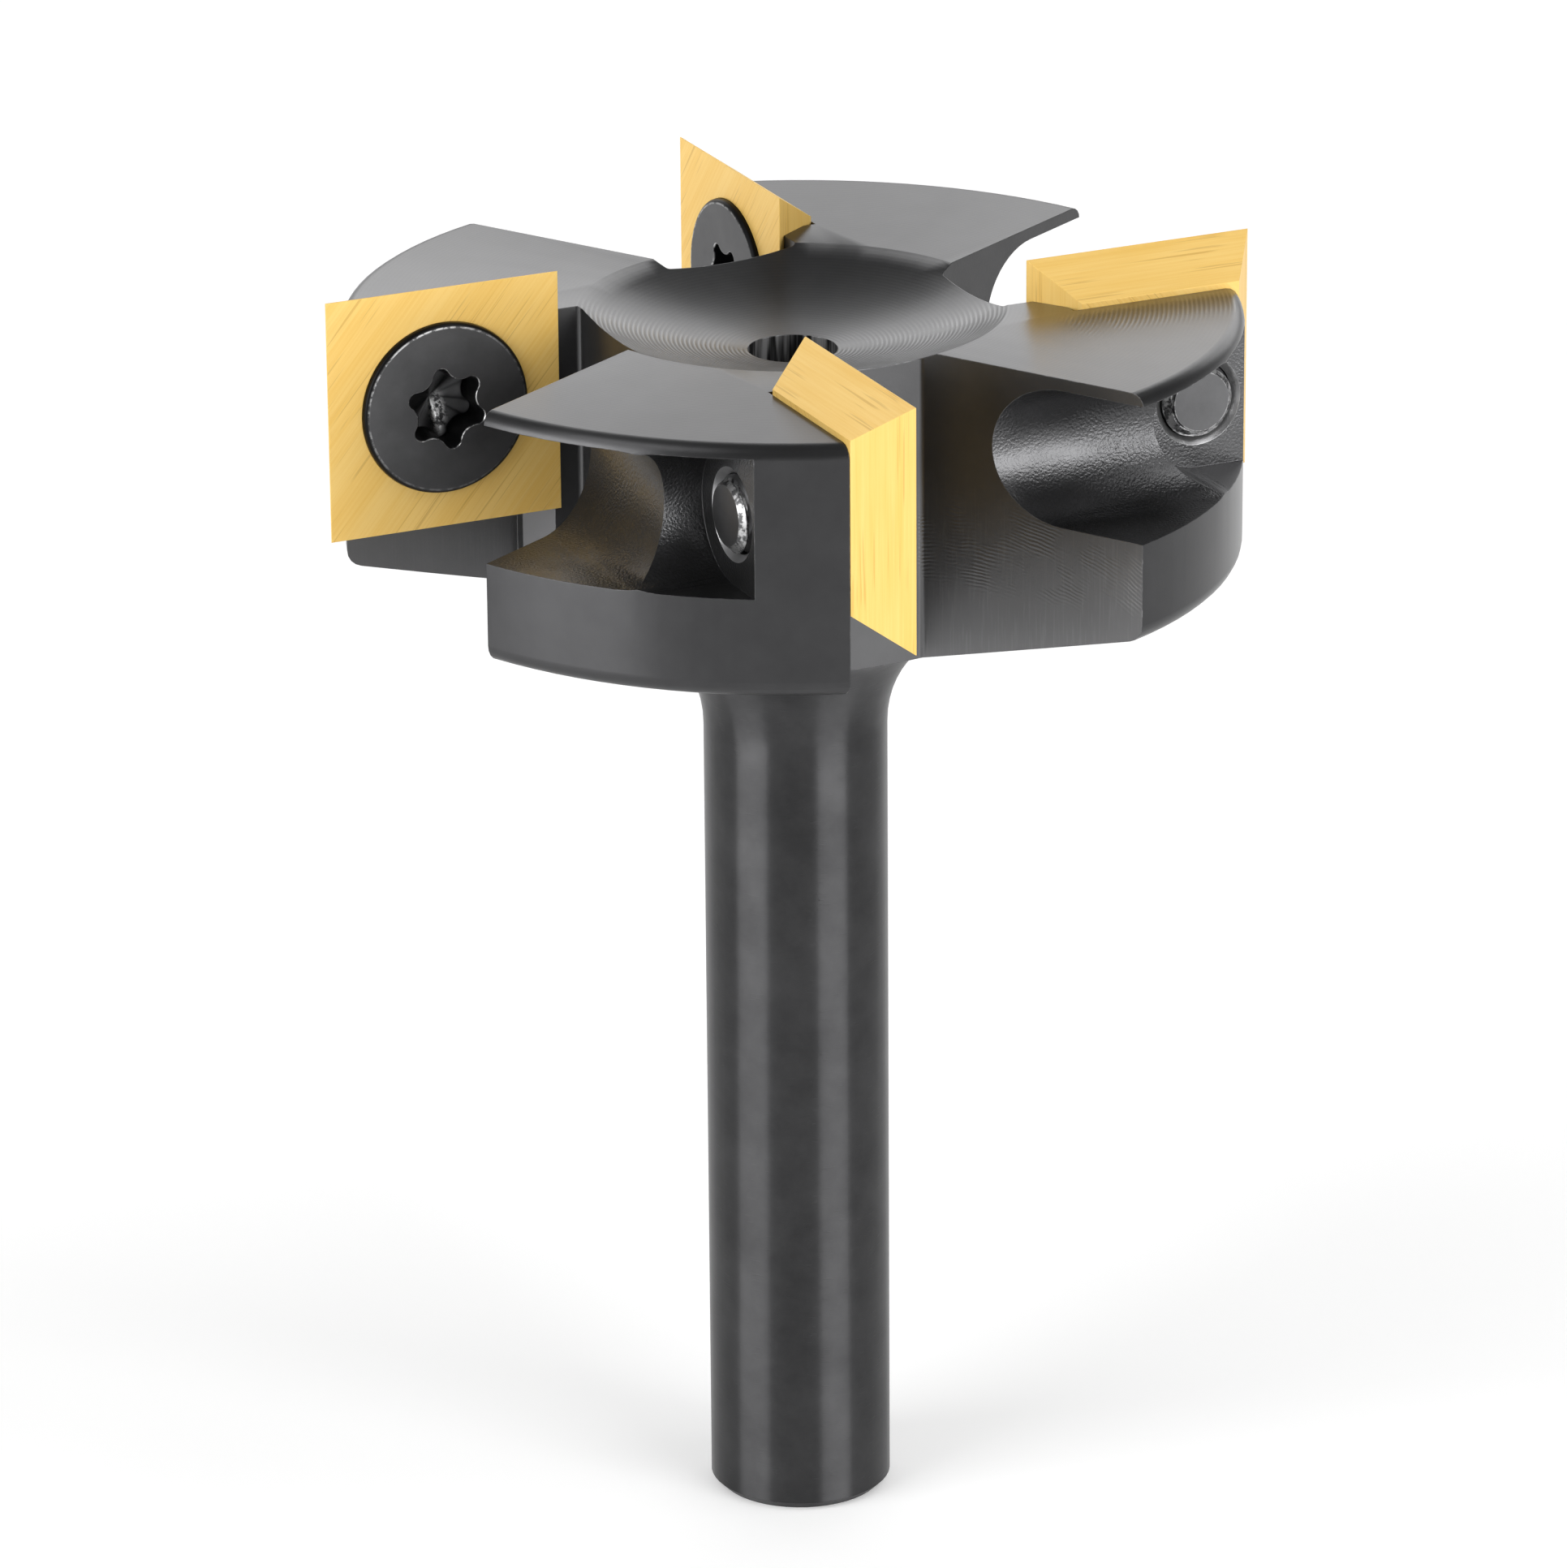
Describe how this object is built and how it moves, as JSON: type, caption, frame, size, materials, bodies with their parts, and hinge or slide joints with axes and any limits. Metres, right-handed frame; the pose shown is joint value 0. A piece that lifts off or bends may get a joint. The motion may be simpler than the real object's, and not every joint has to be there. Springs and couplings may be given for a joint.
{
  "type": "surfacing router bit",
  "caption": "Surfacing router bit: plain round shank, dished steel head with milled gullets, and square carbide inserts held by countersunk six-lobe screws.",
  "frame": {"origin": "centre of the flat end of the shank, on the axis of rotation", "axes": "+Z along the shank towards the cutting end, wing 1 points along -X and its insert faces -Y, wings 2 to 4 follow every 90 degrees counter-clockwise seen from the cutting end"},
  "size_m": [0.0598, 0.0598, 0.0849],
  "materials": {
    "body_steel": "black oxide on turned and milled steel, satin",
    "coated_carbide": "ground carbide with a thin gold titanium nitride coating",
    "screw_steel": "black oxide on hardened steel, semi-gloss"
  },
  "bodies": {
    "root": {"cutter_body": "body_steel", "insert_1": "coated_carbide", "insert_2": "coated_carbide", "insert_3": "coated_carbide", "insert_4": "coated_carbide", "insert_screw_1": "screw_steel", "insert_screw_2": "screw_steel", "insert_screw_3": "screw_steel", "insert_screw_4": "screw_steel"}
  },
  "joints": []
}
